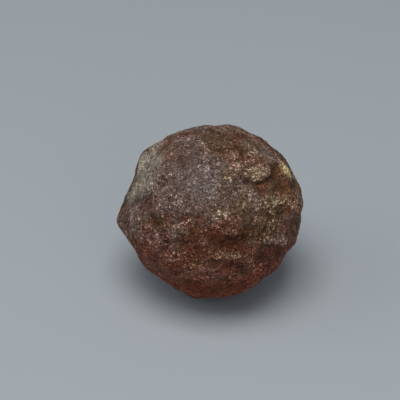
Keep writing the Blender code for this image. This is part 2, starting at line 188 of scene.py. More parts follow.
# Worn places on the front, where clean quartz shows, and bare ones, where hardly a grain does: places along
# each and its width, measured as for the creases, and how worn it is, from 1 to -1 where it is bare.
WEAR = {
    "upper right knob": (((10.5, 10.0), (12.5, 9.8), (14.8, 10.5)), 1.8, 0.75),
    "top of that knob": (((12.5, 11.5), (14.0, 11.5), (15.0, 10.5)), 0.8, 0.9),
    "chain above it": (((10.0, 14.0), (12.0, 15.5), (13.5, 14.5)), 1.0, 0.7),
    "above the knob": (((6.3, 15.3), (6.9, 14.0)), 0.9, 1.0),
    "left of the crease": (((6.5, 8.5), (7.5, 7.5)), 0.9, 0.7),
    "left of the knob": (((5.5, 11.5), (7.0, 11.0)), 1.1, 0.5),
    "rim beside the knob": (((14.5, 14.0), (16.5, 13.3), (18.0, 13.0)), 0.9, 1.0),
    "stained rim": (((19.0, 12.0), (20.0, 10.5), (21.5, 9.0)), 1.0, 0.7),
    "right ledge": (((15.5, 1.5), (17.5, 2.5), (19.5, 3.0), (22.0, 2.5)), 1.2, 1.0),
    "end of the ledge": (((21.0, 1.5), (22.5, 1.5)), 1.0, 0.9),
    "left of the ledge": (((11.5, 2.3), (13.5, 3.0)), 1.6, 0.3),
    "nodule's top": (((1.0, -1.2), (2.5, 0.0), (4.5, -0.8)), 1.3, 0.6),
    "nodule's face": (((2.5, -2.5), (6.5, -3.0)), 1.8, 0.05),
    "nodule's lower edge": (((2.5, -4.5), (5.5, -6.0), (7.0, -4.5)), 0.7, 0.5),
    "right shoulder": (((11.5, -1.5), (15.0, -4.0), (17.0, -4.5)), 2.2, 0.25),
    "right streaks": (((15.5, 0.0), (18.0, -4.0)), 0.7, 0.4),
    "lower right ridge": (((15.0, -7.2), (17.0, -7.3), (19.5, -7.8)), 1.1, 1.0),
    "lower arc": (((1.5, -11.5), (4.0, -11.0), (6.5, -11.5)), 1.0, 0.75),
    "lower left chain": (((-6.0, -14.0), (-3.5, -13.5), (-1.0, -13.5)), 1.0, 0.3),
    "lower right chain": (((10.5, -10.0), (10.5, -13.0), (12.0, -14.5), (14.0, -13.5)), 0.9, 0.7),
    "low band": (((-10.5, -12.0), (-7.5, -12.0), (-5.0, -12.8)), 1.0, 0.55),
    "below the sheen": (((-9.5, -7.0), (-9.0, -4.0), (-5.5, -2.5)), 0.9, 0.6),
    "streak": (((-2.5, -8.0), (0.0, -8.0)), 0.7, 0.3),
    "middle left cluster": (((-9.0, 1.5), (-7.5, 2.0)), 1.2, 0.9),
    "left of the cluster": (((-12.5, -0.5), (-9.5, -1.5), (-11.0, -3.0)), 0.8, 0.3),
    "sheen": (((-6.5, 9.0), (-2.0, 5.5), (2.0, 4.0)), 4.5, -0.08),
    "upper left chain": (((-9.0, 18.5), (-5.5, 18.5)), 0.8, 0.9),
    "upper left streak": (((-10.5, 14.5), (-7.5, 16.0)), 0.6, 0.8),
    "top chain": (((-3.0, 18.0), (-1.0, 16.5)), 0.8, 0.9),
    "pale face's lower edge": (((-16.0, 5.5), (-13.5, 6.5)), 0.6, 0.9),
    "left tip": (((-22.5, 1.5), (-20.5, 2.0)), 1.0, 0.1),
    "left tip's column": (((-20.0, 0.5), (-20.0, -2.5)), 0.8, 0.7),
    "lower left": (((-16.5, -5.5), (-13.5, -7.0)), 2.5, 0.5),
    "pale face": (((-15.0, 13.0), (-17.0, 9.0), (-20.0, 5.0)), 3.8, -1.0),
    "hollow by the knob": (((17.0, 10.5), (17.5, 8.0)), 1.6, -1.0),
    "shelf below the knob": (((15.0, 6.0), (22.0, 6.0)), 1.5, -0.9),
    "under the ledge": (((17.5, 0.0), (21.0, 1.0)), 1.0, -0.8),
    "right edge": (((20.5, -1.0), (22.0, -5.5)), 1.4, 0.1),
    "gap by the nodule": (((9.5, -1.0), (9.0, -6.5)), 1.1, -0.9),
    "hollow under the nodule": (((1.0, -7.5), (6.0, -7.5)), 1.7, -1.0),
    "lower right hollow": (((13.0, -10.0), (18.5, -10.5)), 2.0, -1.0),
    "over the lower arc": (((0.5, -9.0), (5.0, -9.0), (9.5, -9.5)), 1.0, -0.8),
    "under the lower arc": (((2.0, -13.5), (7.0, -14.0), (9.0, -15.5)), 1.4, -0.8),
    "spot on the left": (((-14.0, -1.0), (-14.0, -2.5)), 1.3, -1.0),
    "under the pale face": (((-20.0, 2.0), (-15.5, 1.5)), 1.3, -0.6),
    "left dark": (((-11.5, -7.5), (-8.5, -8.0)), 0.9, -0.7),
    "red left": (((-15.0, -10.5), (-14.5, -13.0)), 1.3, -0.8),
    "red by the middle": (((-3.2, -4.8), (-4.0, -6.5), (-2.0, -10.5)), 1.0, -0.7),
    "bottom": (((-11.0, -16.0), (-2.5, -20.0), (7.5, -19.0)), 2.6, -0.7),
    "crown": (((-5.0, 20.5), (1.0, 20.5), (9.0, 18.0), (13.5, 17.5)), 2.2, -0.2),
    "upper left bare": (((-10.0, 17.0), (-5.5, 13.5), (-8.5, 12.0)), 1.6, -0.7),
}

# Patches of the front whose colour differs: the colour's name, the place and the radius, measured as for the
# creases, the share of the radius that is blurred edge, and how much of the colour shows. Later ones lie over
# earlier ones.
PATCHES = (
    # Broad areas and the crown; the large lilac patch is the painted sheen
    ("moss", (15.0, 4.0), 12.0, 0.9, 0.35),
    ("lilac_sheen", (-2.0, 8.5), 10.5, 0.8, 0.95),
    ("moss", (4.6, 8.4), 2.2, 0.7, 0.6),
    ("mauve", (-7.5, 0.5), 7.5, 0.8, 0.7),
    ("mauve", (-6.5, 17.5), 5.5, 0.7, 0.95),
    ("mauve", (-8.5, 13.0), 3.5, 0.7, 0.7),
    ("crust", (3.0, 18.0), 5.5, 0.7, 0.7),
    ("tan", (3.5, 21.8), 5.0, 0.7, 0.9),
    ("tan", (10.5, 16.0), 4.5, 0.7, 0.75),
    ("crust", (8.8, 15.8), 2.2, 0.7, 0.7),
    ("moss", (11.5, 17.0), 3.2, 0.8, 0.5),
    # The pale face and its edges: its paleness is partly the face's own grey and partly a painted reflection of
    # the sky, and the lilac patch is painted sheen
    ("pale", (-13.5, 17.0), 4.0, 0.8, 0.35),
    ("pale", (-16.5, 12.0), 6.5, 0.8, 0.85),
    ("pale", (-14.0, 12.5), 4.6, 0.8, 0.55),
    ("pale", (-18.0, 7.5), 6.0, 0.8, 0.85),
    ("pale", (-14.8, 8.5), 4.2, 0.8, 0.55),
    ("pale", (-19.6, 4.7), 4.6, 0.8, 1.0),
    ("tan", (-10.3, 16.6), 3.6, 0.7, 0.95),
    ("tan", (-7.5, 15.8), 3.0, 0.7, 0.7),
    ("lilac_sheen", (-11.0, 3.5), 5.0, 0.8, 0.5),
    # The left lobe, whose dark patches are painted shade under the pale face's edge and on the lobe's lower side
    ("maroon", (-16.5, 1.5), 3.0, 0.6, 0.6),
    ("maroon", (-22.0, 2.0), 2.5, 0.6, 0.6),
    ("dark_shade", (-22.8, -1.0), 3.0, 0.6, 0.8),
    ("dark_shade", (-21.3, -1.5), 3.4, 0.7, 0.7),
    ("cream", (-20.0, -0.5), 1.4, 0.6, 0.5),
    ("moss", (-17.5, -2.0), 2.0, 0.6, 0.6),
    ("dark_shade", (-14.0, -2.0), 2.2, 0.5, 0.8),
    ("dark_shade", (-15.5, -4.0), 4.0, 0.7, 0.6),
    ("dark_shade", (-12.0, -3.8), 3.6, 0.7, 0.85),
    ("dark_shade", (-17.0, -4.0), 2.2, 0.7, 0.6),
    # Left of the nodule, and low on the left; the dark patch is painted shade by the nodule
    ("maroon", (-3.0, -3.5), 4.0, 0.7, 0.5),
    ("dark_shade", (-3.2, -4.8), 2.6, 0.6, 0.9),
    ("maroon", (-5.7, -1.9), 1.8, 0.6, 0.7),
    ("maroon", (0.8, -4.7), 2.5, 0.7, 0.8),
    ("maroon", (-16.0, -7.0), 5.0, 0.8, 0.5),
    ("maroon", (-9.0, -12.0), 8.0, 0.8, 0.5),
    ("maroon", (-14.0, -11.5), 4.0, 0.8, 0.6),
    ("red", (-15.5, -11.0), 3.0, 0.8, 0.5),
    ("maroon", (-11.0, -7.5), 2.5, 0.6, 0.6),
    ("maroon", (-4.0, -10.0), 4.5, 0.8, 0.35),
    ("maroon", (-11.4, -9.0), 3.0, 0.7, 0.6),
    # The upper right knob, and the rim and hollow beside it; the dark patch is painted shade in the hollow, the
    # lilac one is painted sheen, and the tan along the rim is partly a painted highlight
    ("red", (8.0, 19.0), 2.0, 0.6, 0.35),
    ("red", (13.0, 13.0), 1.5, 0.6, 0.4),
    ("tan", (9.5, 5.5), 3.5, 0.7, 0.7),
    ("moss", (12.6, 10.4), 3.2, 0.5, 0.5),
    ("cream", (12.0, 9.8), 2.2, 0.6, 0.6),
    ("tan", (15.2, 15.5), 2.4, 0.7, 0.8),
    ("tan", (17.0, 14.5), 2.4, 0.7, 0.9),
    ("brown", (13.5, 14.0), 2.5, 0.7, 0.5),
    ("brown", (14.5, 7.5), 2.2, 0.7, 0.6),
    ("lilac_sheen", (10.5, 20.0), 3.0, 0.7, 0.5),
    ("brown", (17.0, 9.5), 2.6, 0.6, 0.7),
    ("dark_shade", (17.8, 11.2), 1.5, 0.6, 0.6),
    ("cream", (18.5, 12.5), 2.2, 0.8, 0.7),
    ("cream", (20.3, 10.6), 4.2, 0.9, 0.5),
    ("ochre", (20.0, 10.6), 3.3, 0.9, 0.85),
    # The shelf below the knob, and the right ledge
    ("brown", (18.5, 6.0), 4.0, 0.7, 0.8),
    ("red", (13.5, 6.0), 2.5, 0.7, 0.4),
    ("cream", (16.5, 2.3), 2.2, 0.7, 0.8),
    ("cream", (20.0, 3.3), 2.4, 0.7, 0.8),
    ("brown", (18.5, 3.0), 3.0, 0.7, 0.35),
    ("brown", (19.5, 0.0), 2.0, 0.7, 0.8),
    ("maroon", (20.5, 0.3), 1.8, 0.6, 0.6),
    # The middle, the nodule and the hollow under it; the pale spot is a painted highlight at the sheen's lower
    # end, and the dark patches are painted shade in the gap and the hollow
    ("moss", (3.5, 4.5), 3.5, 0.7, 0.5),
    ("pale", (0.2, 3.8), 2.6, 0.8, 0.25),
    ("tan", (6.0, 2.0), 3.5, 0.7, 0.6),
    ("moss", (8.6, 2.2), 2.6, 0.7, 0.9),
    ("cream", (3.0, -0.5), 2.0, 0.6, 0.95),
    ("maroon", (5.0, -4.0), 3.0, 0.7, 0.5),
    ("maroon", (1.5, -7.0), 2.8, 0.6, 0.7),
    ("maroon", (5.5, -7.5), 2.8, 0.6, 0.8),
    ("dark_shade", (9.0, -6.0), 2.6, 0.6, 0.8),
    ("maroon", (8.5, -9.0), 3.0, 0.7, 0.8),
    ("dark_shade", (2.5, -9.0), 2.4, 0.6, 0.8),
    # The right side, whose dark patches are painted shade in the crevices beside and below the nodule
    ("dark_shade", (13.0, -2.5), 3.5, 0.7, 0.5),
    ("dark_shade", (13.5, -6.5), 2.8, 0.6, 0.7),
    ("dark_shade", (12.8, -4.6), 2.2, 0.6, 0.5),
    ("dark_shade", (16.5, -5.0), 2.8, 0.6, 0.8),
    ("moss", (15.5, -3.0), 3.6, 0.7, 0.5),
    ("brown", (22.0, -3.8), 3.2, 0.7, 0.7),
    ("brown", (22.8, 0.5), 3.2, 0.7, 0.7),
    ("brown", (22.8, 6.0), 3.5, 0.7, 0.7),
    # The lower folds and the bottom; the dark patches are painted shade in the folds, and the red low down is
    # partly rust and partly painted warm bounce light
    ("maroon", (15.0, -10.5), 4.2, 0.6, 0.8),
    ("red", (16.5, -9.8), 3.2, 0.7, 0.5),
    ("dark_shade", (6.0, -9.0), 2.4, 0.6, 0.8),
    ("brown", (3.5, -11.5), 2.2, 0.6, 0.7),
    ("red", (-2.0, -17.0), 3.5, 0.8, 0.4),
    ("maroon", (-1.5, -11.5), 2.0, 0.6, 0.6),
    ("tan", (17.6, -7.4), 2.4, 0.7, 1.0),
    ("red", (5.6, -7.6), 2.0, 0.7, 0.4),
    ("red", (5.0, -14.5), 3.5, 0.7, 0.5),
    ("maroon", (5.3, -13.6), 2.4, 0.7, 0.8),
    ("dark_shade", (9.0, -14.5), 2.0, 0.7, 0.5),
    ("brown", (-4.0, -13.0), 2.5, 0.7, 0.4),
    ("maroon", (-2.0, -15.0), 2.0, 0.6, 0.6),
)


def seen(right, up):
    """The point of the stone that the camera sees, this many millimetres right and up of its middle."""
    target = MIDDLE + right * MM * RIGHT + up * MM * UP
    hit = SURFACE.ray_cast(EYE, target - EYE)[0]
    return hit or SURFACE.find_nearest(target)[0]


class Value:
    """The socket of a node. Arithmetic on it adds Math nodes."""

    def __init__(self, nodes, socket):
        self.nodes = nodes
        self.socket = socket

    def output(self, name):
        """Another output of the same node."""
        return Value(self.nodes, self.socket.node.outputs[name])

    def __add__(self, other):
        return self.nodes.math("ADD", self, other)

    def __radd__(self, other):
        return self.nodes.math("ADD", other, self)

    def __sub__(self, other):
        return self.nodes.math("SUBTRACT", self, other)

    def __rsub__(self, other):
        return self.nodes.math("SUBTRACT", other, self)

    def __mul__(self, other):
        return self.nodes.math("MULTIPLY", self, other)

    def __rmul__(self, other):
        return self.nodes.math("MULTIPLY", other, self)


class Nodes:
    """A node tree that nodes are added to."""

    def __init__(self, tree):
        self.tree = tree

    def add(self, kind, settings=None, inputs=None):
        """The output of a new node of this type, with these settings and these values or links of sockets."""
        node = self.tree.nodes.new(kind)
        for name, value in (settings or {}).items():
            setattr(node, name, value)
        for key, value in (inputs or {}).items():
            self.feed(self.socket(node, key), value)
        return Value(self, next((socket for socket in node.outputs if socket.enabled), None))

    def socket(self, node, key):
        """The node's input of this number, or the one of this name that is in use."""
        if isinstance(key, int):
            return node.inputs[key]
        return next(socket for socket in node.inputs if socket.enabled and socket.name == key)

    def feed(self, socket, value):
        if isinstance(value, Value):
            self.tree.links.new(value.socket, socket)
        else:
            socket.default_value = value

    def math(self, operation, first, second):
        return self.add("ShaderNodeMath", {"operation": operation}, {0: first, 1: second})

    def vector(self, operation, first, second):
        return self.add("ShaderNodeVectorMath", {"operation": operation}, {0: first, 1: second})

    def scaled(self, vector, factor):
        return self.add("ShaderNodeVectorMath", {"operation": "SCALE"}, {"Vector": vector, "Scale": factor})

    def step(self, value, low, high):
        """0 up to low, 1 from high, and smooth between."""
        return self.add(
            "ShaderNodeMapRange",
            {"interpolation_type": "SMOOTHSTEP"},
            {"Value": value, "From Min": low, "From Max": high},
        )

    def fall(self, value, low, high):
        """1 up to low, 0 from high, and smooth between."""
        return 1 - self.step(value, low, high)


class Finish(Nodes):
    """The nodes of a material."""

    def __init__(self, name):
        self.material = bpy.data.materials.new(name)
        self.material.use_nodes = True
        super().__init__(self.material.node_tree)
        self.shader = self.tree.nodes["Principled BSDF"]
        self.place = self.add("ShaderNodeTexCoord").output("Object")

    def show(self, name, value):
        """Sets or links one of the shader's own sockets."""
        self.feed(self.shader.inputs[name], value)

    def noise(self, size, detail=2.0):
        """Cloudy noise from 0 to 1 with lumps of this size."""
        inputs = {"Vector": self.place, "Scale": 1 / size, "Detail": detail}
        return self.add("ShaderNodeTexNoise", None, inputs)

    def cells(self, size):
        """Cells of this size. The output is the distance from the nearest cell's middle."""
        return self.add("ShaderNodeTexVoronoi", None, {"Vector": self.place, "Scale": 1 / size})

    def channel(self, colour, name):
        return self.add("ShaderNodeSeparateColor", None, {"Color": colour}).output(name)

    def attribute(self, name):
        return self.add("ShaderNodeAttribute", {"attribute_name": name}).output("Fac")

    def blend(self, factor, first, second):
        """The first colour turning into the second as the factor goes from 0 to 1."""
        first, second = (value if isinstance(value, Value) else (*value, 1.0) for value in (first, second))
        return self.add("ShaderNodeMix", {"data_type": "RGBA"}, {"Factor": factor, "A": first, "B": second})

    def uneven_place(self):
        """The place pushed about by coarse and fine noise, so that what is drawn with it has ragged edges."""
        place = self.place
        for size, distance in RAGGED_EDGES:
            push = self.noise(size, detail=3.0).output("Color")
            centred = self.vector("SUBTRACT", push, (0.5, 0.5, 0.5))
            place = self.vector("ADD", place, self.scaled(centred, distance))
        return place

    def patch(self, place, middle, radius, blur):
        """1 in the middle of a patch of the front and 0 past its radius."""
        away = self.vector("DISTANCE", place, tuple(seen(*middle))).output("Value")
        return self.fall(away, (1 - blur) * radius * MM, radius * MM)

    def bump(self, height, distance):
        inputs = {"Height": height, "Distance": distance, "Strength": 1.0}
        self.show("Normal", self.add("ShaderNodeBump", None, inputs))


def stain_and_painted_light(nodes, colours):
    """The iron stain without its grain, with painted light in it: clouds of brown, a painted lilac sheen high
    up, rust with painted warm bounce light low on the front, and the front's patches, some of them painted
    sheen, highlights and shade.
    """
    uneven = nodes.uneven_place()
    axes = nodes.add("ShaderNodeSeparateXYZ", None, {"Vector": uneven})
    height = axes.output("Z")
    behind = axes.output("Y")
    cloudy = nodes.step(nodes.noise(CLOUD_SIZE, detail=3.0), 0.42, 0.60)
    colour = nodes.blend(cloudy, colours.crust, colours.tan)
    broad = nodes.noise(BROAD_SIZE, detail=3.0)
    # Painted sheen: grey-lilac clouds on the upper part of the stone.
    high_sheen = nodes.step(broad, 0.48, 0.60) * nodes.step(height, *HIGH_SHEEN_HEIGHTS)
    colour = nodes.blend(high_sheen * HIGH_SHEEN_SHARE, colour, colours.lilac_sheen)
    colour = nodes.blend(nodes.fall(broad, 0.40, 0.52) * BROAD_MAROON_SHARE, colour, colours.maroon)
    # Rust with painted warm bounce light: redder low on the front.
    low_front = nodes.fall(height, *RUST_AND_BOUNCE_HEIGHTS) * nodes.fall(behind, *RUST_AND_BOUNCE_DEPTHS)
    colour = nodes.blend(low_front * RUST_AND_BOUNCE_SHARE, colour, colours.red)
    for name, middle, radius, blur, strength in PATCHES:
        mask = nodes.patch(uneven, middle, radius, blur) * strength
        colour = nodes.blend(mask, colour, getattr(colours, name))
    blotches = nodes.step(nodes.noise(BLOTCH_SIZE, detail=4.0), 0.50, 0.70)
    return nodes.blend(blotches * BLOTCH_SHARE, colour, colours.maroon)


def crust_material(colours, speck):
    """Iron-stained sand: a mottled dark ground with clumps of paler grains, more of them where it is worn, and
    painted shade in its hollows.
    """
    nodes = Finish("iron_crust")
    worn = nodes.attribute("worn")
    sunk = nodes.step(nodes.attribute("hollow"), 0.1, 1.0)
    stain_and_light = stain_and_painted_light(nodes, colours)
    cells = nodes.cells(speck)
    luck = nodes.channel(cells.output("Color"), "Red")
    shade = nodes.channel(cells.output("Color"), "Green")
    clumps = nodes.step(nodes.noise(CLUMP_SIZE, detail=3.0), 0.30, 0.70)
    mottle = nodes.step(nodes.noise(MOTTLE_SIZE), 0.30, 0.70)

    # The dark ground between the grains
    paler = nodes.step(worn, 0.0, 1.0) * 0.28
    gritty = luck * luck * (1.5 + worn * 0.6)
    cement = nodes.scaled(stain_and_light, 0.18 + mottle * 0.3 + clumps * 0.3 + gritty + paler)
    # Painted shade: the ground turns towards dark brown where it lies in a hollow.
    cement = nodes.blend(sunk * 0.5, cement, nodes.scaled(colours.dark_shade, 0.7))

    # The paler grains, which are the cells with the best luck
    score = luck + clumps * 0.45 + worn * 0.40 - sunk * 0.25
    light = nodes.step(score, 1.13, 1.36)
    grain = nodes.blend(0.24 + worn * 0.18, nodes.scaled(stain_and_light, 3.0), colours.grain)
    grain = nodes.scaled(grain, 0.5 + shade * 1.2 + worn * 0.35)
    nodes.show("Base Color", nodes.blend(light, cement, grain))

    # The gloss and the relief
    nodes.show("Roughness", 0.72 - light * 0.25 + sunk * 0.15)
    nodes.show("Specular IOR Level", 0.12)
    grit = nodes.noise(GRIT_SIZE)
    height = clumps * 0.35 + (1 - cells) * 0.10 + shade * 0.08 + light * 0.05 + grit * 0.04
    nodes.bump(height, 1.0 * MM)
    return nodes.material


def grain_material(colours):
    """Grains of sand and quartz: most take the crust's colour round them, stain and painted light alike, and
    some are clean and bright.
    """
    nodes = Finish("quartz_grain")
    tint = nodes.attribute("tint")
    stain_and_light = stain_and_painted_light(nodes, colours)
    colour = nodes.blend(nodes.step(tint, 0.0, 0.4), nodes.scaled(stain_and_light, 0.5), nodes.scaled(stain_and_light, 2.2))
    colour = nodes.blend(nodes.step(tint, 0.4, 0.85) * 0.5, colour, colours.grain)
    colour = nodes.blend(nodes.step(tint, 0.85, 1.0), colour, colours.quartz)
    nodes.show("Base Color", colour)
    nodes.show("Roughness", 0.6 - nodes.step(tint, 0.5, 1.0) * 0.3)
    nodes.show("Specular IOR Level", 0.5)
    return nodes.material


def floor_material(colour):
    """A matt painted board, very slightly uneven."""
    nodes = Finish("pale_floor")
    lighter = tuple(min(1.0, FLOOR_CLOUD_LIGHTER * channel) for channel in colour)
    nodes.show("Base Color", nodes.blend(nodes.noise(FLOOR_CLOUD_SIZE), tuple(colour), lighter))
    nodes.show("Roughness", 0.85)
    nodes.show("Specular IOR Level", 0.2)
    return nodes.material


def select_only(piece):
    """Leaves this piece alone selected, and active."""
    bpy.ops.object.select_all(action="DESELECT")
    piece.select_set(True)
    bpy.context.view_layer.objects.active = piece


def copy_of(thing, name):
    """A new object in the scene with its own copy of the thing's mesh."""
    piece = bpy.data.objects.new(name, thing.data.copy())
    bpy.context.scene.collection.objects.link(piece)
    select_only(piece)
    return piece


def points_of(mesh):
    """The places of the mesh's points, one to a row."""
    points = np.empty(len(mesh.vertices) * 3)
    mesh.vertices.foreach_get("co", points)
    return points.reshape(-1, 3)


def keep(mesh, name, values):
    """Keeps a number for each point of the mesh, for the materials and the grains to read."""
    mesh.attributes.new(name, "FLOAT", "POINT").data.foreach_set("value", values)


def wandering(points, size, distance):
    """The points pushed about by noise, so that a line drawn through them is crooked."""
    noise.seed_set(BEND_SEED)
    push = [noise.turbulence_vector(Vector(point) / size, 2, False) for point in points]
    return points + distance * np.array(push)


def nearness(points, places, width):
    """How near each point is to a line of places on the front: 1 on it, falling to 0 past its width."""
    line = [np.array(seen(*place)) for place in places]
    nearest = np.full(len(points), np.inf)
    for start, end in zip(line, line[1:]):
        along = end - start
        share = np.clip((points - start) @ along / (along @ along), 0, 1)
        distance = np.linalg.norm(points - start - share[:, None] * along, axis=1)
        nearest = np.minimum(nearest, distance)
    return np.exp(-((nearest / (width * MM)) ** 2))


def add_group(piece, name, weights):
    """Gives the piece a vertex group of this name, with these weights from 0 to 1."""
    group = piece.vertex_groups.new(name=name)
    for index in np.flatnonzero(weights > LEAST_WEIGHT).tolist():
        group.add([index], float(weights[index]), "REPLACE")


def displace(piece, strength, texture=None, middle=0.0, group=""):
    """Moves the piece's surface along its normals, by the weights of the named group, and applies the change."""
    select_only(piece)
    bpy.ops.object.modifier_add(type="DISPLACE")
    modifier = piece.modifiers[-1]
    modifier.strength = strength
    modifier.mid_level = middle
    modifier.texture = texture
    modifier.texture_coords = "LOCAL"
    modifier.vertex_group = group
    bpy.ops.object.modifier_apply(modifier=modifier.name)


def clouds(name, size, depth):
    """Soft lumps of this size, with finer ones on them as the depth rises."""
    texture = bpy.data.textures.new(name, "CLOUDS")
    texture.noise_scale = size
    texture.noise_depth = depth
    return texture


def crags(name, size):
    """Cracked lumps: low along the borders of the cells, and high in their middles."""
    texture = bpy.data.textures.new(name, "VORONOI")
    texture.noise_scale = size
    texture.weight_1 = -1.0
    texture.weight_2 = 1.0
    return texture


def knobbiness(points):
    """How knobbly the stone is at each point, from 0 to 1: most on the front's right, least on the crown."""
    right, _, up = ((points - np.array(MIDDLE)) / STONE_RADIUS).T
    all_round = np.clip(0.42 + 0.2 * right - 0.25 * up, 0.15, 0.7)
    stretch = nearness(points, KNOBBLY_STRETCH, KNOBBLY_WIDTH)
    return np.clip(all_round + 0.6 * stretch, 0, 1)


def weather(piece, settings, home):
    """Raises lumps, crags and sand on the piece, and presses in the creases of the front."""
    add_group(piece, "knobbly", knobbiness(home))
    displace(piece, settings.lump_height, clouds("lumps", LUMP_SIZE, depth=2), middle=0.5, group="knobbly")
    displace(piece, settings.crag_height, crags("crags", CRAG_SIZE), middle=0.25, group="knobbly")
    deepest = max(deep for _, _, deep in CREASES.values())
    depth = np.zeros(len(home))
    for places, width, deep in CREASES.values():
        depth = np.maximum(depth, deep / deepest * nearness(home, places, width))
    add_group(piece, "creases", depth)
    displace(piece, -deepest * MM, group="creases")
    displace(piece, settings.sand_height, clouds("sand", SAND_SIZE, depth=1), middle=0.5)


def wear_of(home):
    """How worn the crust is at each point, from 1 to -1 where it is bare: the named places, and clumps."""
    named = sum(worn * nearness(home, places, width) for places, width, worn in WEAR.values())
    clumps = [noise.fractal(Vector(point) / WORN_CLUMP_SIZE, 1.0, 2.0, 3) for point in home]
    return np.clip(named + 0.6 * np.array(clumps), -1, 1)


def smoothed(points, first, second, rounds):
    """The points with each moved halfway to the mean of its neighbours, this many times."""
    count = len(points)
    neighbours = np.bincount(np.concatenate((first, second)), minlength=count)
    for _ in range(rounds):
        sums = [
            np.bincount(first, axis[second], count) + np.bincount(second, axis[first], count)
            for axis in points.T
        ]
        points = 0.5 * points + 0.5 * np.stack(sums, axis=1) / neighbours[:, None]
    return points


def hollow_of(mesh):
    """How far each point lies in a hollow, from 1 to -1 on a ridge."""
    points = points_of(mesh)
    normals = np.array([vertex.normal for vertex in mesh.vertices])
    first, second = np.array([edge.vertices for edge in mesh.edges]).T
    total = np.zeros(len(points))
    for rounds, full_depth in HOLLOW_SCALES:
        depth = np.sum((smoothed(points, first, second, rounds) - points) * normals, axis=1)
        total += (depth - np.median(depth)) / full_depth
    return np.clip(total / len(HOLLOW_SCALES), -1, 1)


def press_on_floor(mesh, height):
    """Presses what hangs below this height up to it, so that the stone lies on its worn flat."""
    points = points_of(mesh)
    points[:, 2] = np.maximum(points[:, 2], height)
    mesh.vertices.foreach_set("co", points.ravel())
    mesh.update()


def make_crust(settings):
    """The stone's own mesh, divided finely, weathered, and marked with its wear and its hollows."""
    piece = copy_of(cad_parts[NODE], CRUST)
    bpy.ops.object.mode_set(mode="EDIT")
    bpy.ops.mesh.select_all(action="SELECT")
    bpy.ops.mesh.remove_doubles(threshold=0.001 * MM)
    bpy.ops.mesh.subdivide(number_cuts=settings.cuts, smoothness=0.0)
    bpy.ops.mesh.vertices_smooth(factor=0.5, repeat=6)
    bpy.ops.object.mode_set(mode="OBJECT")
    home = wandering(points_of(piece.data), BEND_SIZE, BEND_DISTANCE)
    weather(piece, settings, home)
    press_on_floor(piece.data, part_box(NODE)[0].z)
    bpy.ops.object.shade_smooth()
    keep(piece.data, "worn", wear_of(home))
    keep(piece.data, "hollow", hollow_of(piece.data))
    return piece


def make_sand_grain():
    """One grain of sand, of a metre's radius: an angular lump of 8 faces."""
    bpy.ops.mesh.primitive_uv_sphere_add(segments=4, ring_count=2, radius=1.0)
    return roughened(bpy.context.object)


def make_quartz_grain():
    """One grain of quartz, of a metre's radius: an angular lump of 20 faces."""
    bpy.ops.mesh.primitive_ico_sphere_add(subdivisions=1, radius=1.0)
    return roughened(bpy.context.object)


def roughened(shape):
    """The shape with its corners moved about."""
    select_only(shape)
    bpy.ops.object.mode_set(mode="EDIT")
    bpy.ops.mesh.select_all(action="SELECT")
    bpy.ops.transform.vertex_random(offset=0.3, uniform=1.0, seed=4)
    bpy.ops.object.mode_set(mode="OBJECT")
    return shape


def random_value(nodes, kind, low, high, seed):
    """A number or a vector for each grain, at random between low and high."""
    settings = {"data_type": kind}
    return nodes.add("FunctionNodeRandomValue", settings, {"Min": low, "Max": high, "Seed": seed})


def grain_spread(shape, settings, density, smallest, largest, seed):
    """Geometry nodes that turn the crust into grains: more where it is worn, fewer in hollows and low."""
    tree = bpy.data.node_groups.new("grain_spread", "GeometryNodeTree")
    tree.interface.new_socket("Geometry", in_out="INPUT", socket_type="NodeSocketGeometry")
    tree.interface.new_socket("Geometry", in_out="OUTPUT", socket_type="NodeSocketGeometry")
    nodes = Nodes(tree)
    crust = nodes.add("NodeGroupInput")
    worn = nodes.add("GeometryNodeInputNamedAttribute", None, {"Name": "worn"})
    hollow = nodes.add("GeometryNodeInputNamedAttribute", None, {"Name": "hollow"})
    place = nodes.add("GeometryNodeInputPosition")
    height = nodes.add("ShaderNodeSeparateXYZ", None, {"Vector": place}).output("Z")
    clear = nodes.math("GREATER_THAN", height, GRAIN_LOWEST)
    worn_share = 0.45 + worn * 0.5
    height_share = 0.45 + nodes.step(height, *GRAIN_HEIGHTS) * 0.55
    share = worn_share * nodes.fall(hollow, -0.2, 1.0) * height_share
    points = nodes.add(
        "GeometryNodeDistributePointsOnFaces",
        None,
        {"Mesh": crust, "Density": share * clear * density, "Seed": seed},
    )
    spread = random_value(nodes, "FLOAT", 0.0, 1.0, seed + 1)
    radius = smallest + spread * spread * (largest - smallest)
    inwards = nodes.scaled(points.output("Normal"), radius * -settings.sunk)
    sunk = nodes.add("GeometryNodeSetPosition", None, {"Geometry": points, "Offset": inwards})
    turn = random_value(nodes, "FLOAT_VECTOR", (0, 0, 0), (math.tau, math.tau, math.tau), seed + 2)
    least, most = ((factor, factor, factor) for factor in GRAIN_STRETCH)
    stretch = random_value(nodes, "FLOAT_VECTOR", least, most, seed + 3)
    grain = nodes.add("GeometryNodeObjectInfo", None, {"Object": shape}).output("Geometry")
    grains = nodes.add(
        "GeometryNodeInstanceOnPoints",
        None,
        {"Points": sunk, "Instance": grain, "Rotation": turn, "Scale": nodes.scaled(stretch, radius)},
    )
    luck = random_value(nodes, "FLOAT", 0.0, 1.0, seed + 4)
    tinted = nodes.add(
        "GeometryNodeStoreNamedAttribute",
        {"data_type": "FLOAT", "domain": "INSTANCE"},
        {"Geometry": grains, "Name": "tint", "Value": luck * (0.85 + worn * 0.25)},
    )
    realized = nodes.add("GeometryNodeRealizeInstances", None, {"Geometry": tinted})
    nodes.add("NodeGroupOutput", None, {"Geometry": realized})
    return tree


